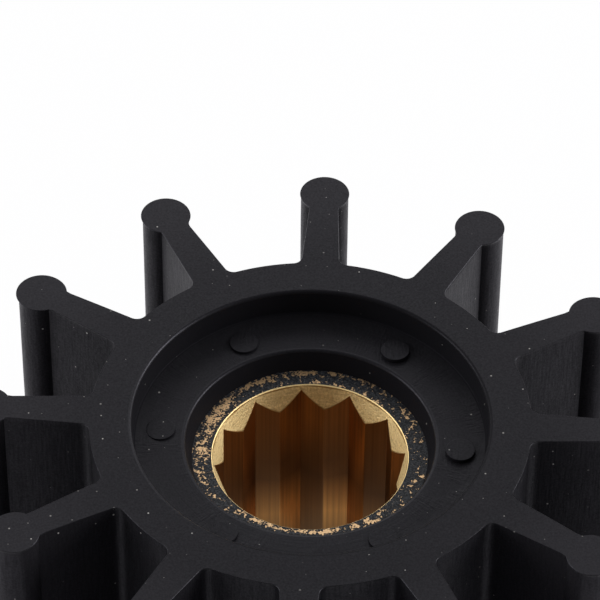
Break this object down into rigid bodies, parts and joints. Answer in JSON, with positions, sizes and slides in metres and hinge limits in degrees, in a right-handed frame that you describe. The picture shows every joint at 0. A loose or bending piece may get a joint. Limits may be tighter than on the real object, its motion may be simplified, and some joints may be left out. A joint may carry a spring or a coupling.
{
  "type": "flexible pump impeller",
  "caption": "Flexible rubber pump impeller: a hub with round-tipped vanes moulded onto a splined brass sleeve, with a dished recess in each end.",
  "frame": {"origin": "centre of the lower end face, on the shaft axis", "axes": "+Z along the shaft axis, from the lower end face to the end with the raised pads; one vane points along +X and one along +Y"},
  "size_m": [0.095, 0.095, 0.0635],
  "materials": {
    "rubber": "matt moulded synthetic rubber, dark charcoal",
    "brass": "machined and broached brass, unpolished"
  },
  "bodies": {
    "root": {"rubber_body": "rubber", "spline_insert": "brass"}
  },
  "joints": []
}
